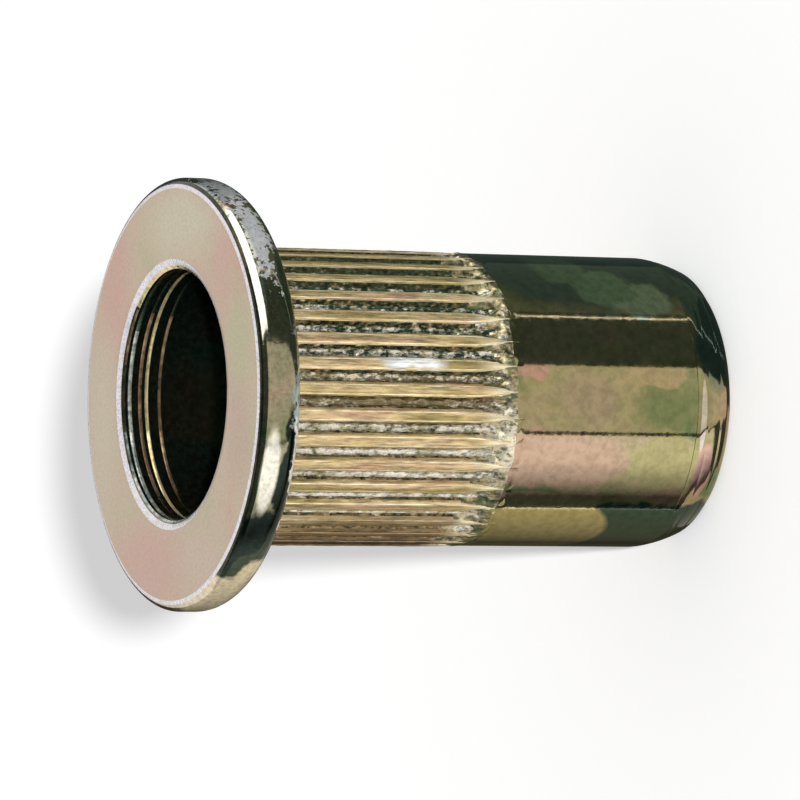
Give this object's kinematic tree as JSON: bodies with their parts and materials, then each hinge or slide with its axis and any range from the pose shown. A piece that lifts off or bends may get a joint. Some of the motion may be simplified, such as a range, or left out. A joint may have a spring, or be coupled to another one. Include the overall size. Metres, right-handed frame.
{
  "type": "rivet nut",
  "caption": "Blind rivet nut: a flat round flange, a straight-knurled shank with a rounded open nose, and a screw thread inside the nose half.",
  "frame": {"origin": "centre of the flange's seat, the flat underside that lies on the sheet, on the axis", "axes": "+Z along the axis, out of the flange's face; the nose points to -Z; a knurl ridge lies 3.2 degrees from -Y towards +X"},
  "size_m": [0.016, 0.016, 0.0208],
  "materials": {
    "yellow_zinc_steel": "satin, yellow passivated zinc plate with pink and green tints"
  },
  "bodies": {
    "root": {"rivet_nut": "yellow_zinc_steel"}
  },
  "joints": []
}
